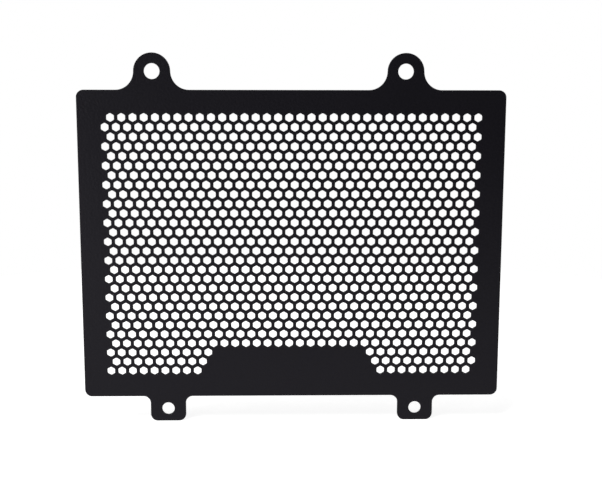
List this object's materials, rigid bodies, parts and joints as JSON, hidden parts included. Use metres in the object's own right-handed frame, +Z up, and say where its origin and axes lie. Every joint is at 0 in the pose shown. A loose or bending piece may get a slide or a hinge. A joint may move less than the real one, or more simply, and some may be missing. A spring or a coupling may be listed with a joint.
{
  "type": "motorcycle radiator guard",
  "caption": "Flat perforated sheet guard with a honeycomb of open cells, two round upper ears and two square lower tabs, bolted over a motorcycle radiator.",
  "frame": {"origin": "middle of the panel on its back face, which seats on the radiator", "axes": "+X across the machine, to the right as seen from in front; +Y back towards the radiator; +Z up"},
  "size_m": [0.2346, 0.0015, 0.2069],
  "materials": {
    "black_coat": "satin powder coat"
  },
  "bodies": {
    "root": {"guard_panel": "black_coat"}
  },
  "joints": []
}
